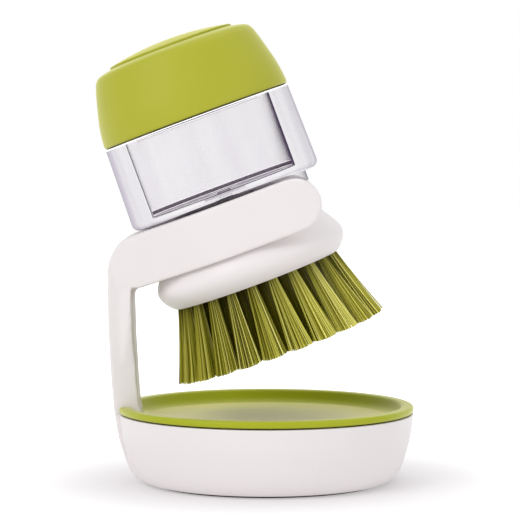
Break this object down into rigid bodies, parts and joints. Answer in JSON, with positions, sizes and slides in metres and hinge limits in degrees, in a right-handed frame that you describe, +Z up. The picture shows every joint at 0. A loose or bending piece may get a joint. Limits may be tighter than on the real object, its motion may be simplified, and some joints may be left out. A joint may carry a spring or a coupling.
{
  "type": "palm dish brush",
  "caption": "Round palm dish brush with a clear soap tank, screw cap and pump button, hanging tilted in a bowl-shaped drip stand with a lift-out tray.",
  "frame": {"origin": "centre of the stand's foot pad, on the surface it stands on", "axes": "+Z up; +X from the stand's post towards the open side of its cradle; +Y to the left of someone looking along +X"},
  "size_m": [0.1022, 0.095, 0.1469],
  "materials": {
    "white_plastic": "satin white moulded plastic",
    "green_plastic": "soft matte yellow-green moulded plastic",
    "tray_green": "satin yellow-green moulded plastic",
    "clear_plastic": "clear polished plastic",
    "silicone": "matte grey silicone",
    "olive_plastic": "dark olive moulded plastic",
    "dark_rubber": "matte dark rubber",
    "bristle_nylon": "translucent yellow-green nylon filament"
  },
  "bodies": {
    "stand": {"base_bowl": "white_plastic", "cradle_arm": "white_plastic", "foot_pad": "dark_rubber"},
    "tray": {"drip_tray": "tray_green"},
    "tank": {"tank_shell": "clear_plastic", "reservoir_cup": "clear_plastic", "outlet_washer": "silicone", "outlet_valve": "silicone", "valve_retainer": "olive_plastic"},
    "head": {"brush_head": "white_plastic", "head_seal": "silicone", "bristles_outer": "bristle_nylon", "bristles_middle": "bristle_nylon", "bristles_inner": "bristle_nylon", "bristles_core": "bristle_nylon"},
    "seal": {"cap_seal": "silicone"},
    "cap": {"cap_shell": "green_plastic", "cap_liner": "green_plastic", "pump_bellows": "dark_rubber"},
    "button": {"push_button": "green_plastic"}
  },
  "joints": [
    {"name": "tray_lift", "type": "slide", "parent": "stand", "child": "tray", "axis": [0, 0, 1], "range_m": [0, 0.009]},
    {"name": "brush_slide", "type": "slide", "parent": "stand", "child": "tank", "axis": [0.9379, 0, 0.3469], "range_m": [0, 0.06]},
    {"name": "head_twist", "type": "hinge", "parent": "tank", "child": "head", "pos_m": [-0.02223, 0, 0.1169], "axis": [-0.3469, 0, 0.9379], "range_deg": [0, 30]},
    {"name": "cap_lift", "type": "slide", "parent": "tank", "child": "seal", "axis": [-0.3469, 0, 0.9379], "range_m": [0, 0.0051]},
    {"name": "cap_turn", "type": "hinge", "parent": "seal", "child": "cap", "pos_m": [-0.02223, 0, 0.1169], "axis": [-0.3469, 0, 0.9379], "range_deg": [0, 450]},
    {"name": "button_press", "type": "slide", "parent": "cap", "child": "button", "axis": [0.3469, 0, -0.9379], "range_m": [0, 0.003], "stiffness_N_per_m": 600, "springref_m": -0.001, "deforming": ["pump_bellows"]}
  ],
  "couplings": [
    {"joint": "cap_lift", "follows": "cap_turn", "m_per_rad": 0.00063662}
  ]
}
